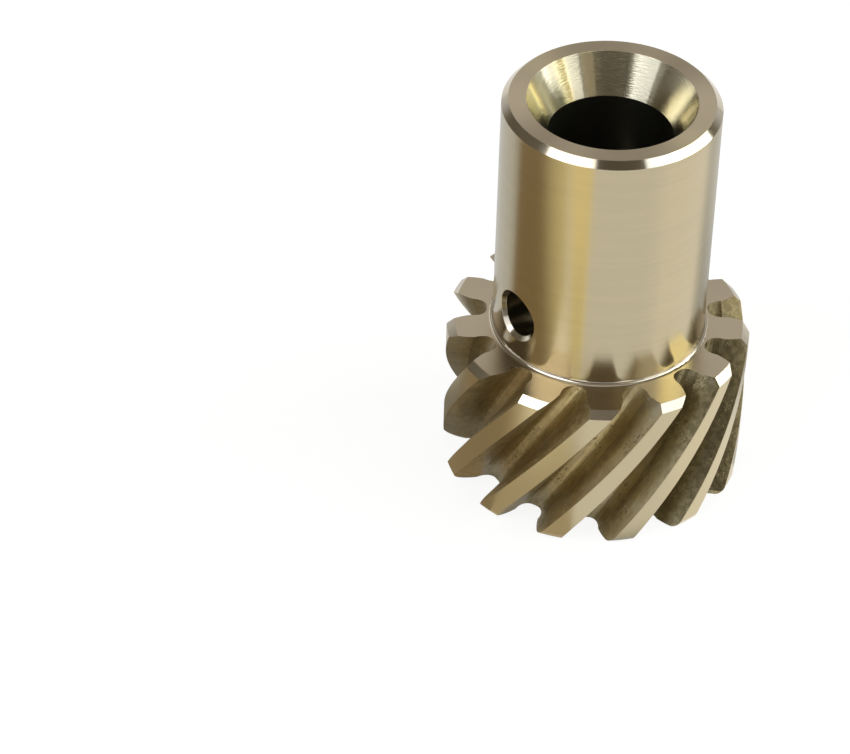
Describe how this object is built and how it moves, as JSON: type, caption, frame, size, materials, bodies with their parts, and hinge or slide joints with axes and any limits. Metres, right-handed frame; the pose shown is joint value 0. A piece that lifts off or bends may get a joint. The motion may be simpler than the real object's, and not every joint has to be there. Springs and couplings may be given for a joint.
{
  "type": "distributor gear",
  "caption": "Bronze helical drive gear with a long smooth hub, a countersunk shaft bore and a cross hole for its drive pin.",
  "frame": {"origin": "middle of the plain toothed end face, on the shaft axis", "axes": "+Z along the shaft axis, from the toothed end to the hub end; -Y is the side towards the viewer"},
  "size_m": [0.0318, 0.0318, 0.0454],
  "materials": {
    "bronze": "turned hub and hobbed teeth, bare metal"
  },
  "bodies": {
    "root": {"distributor_gear": "bronze"}
  },
  "joints": []
}
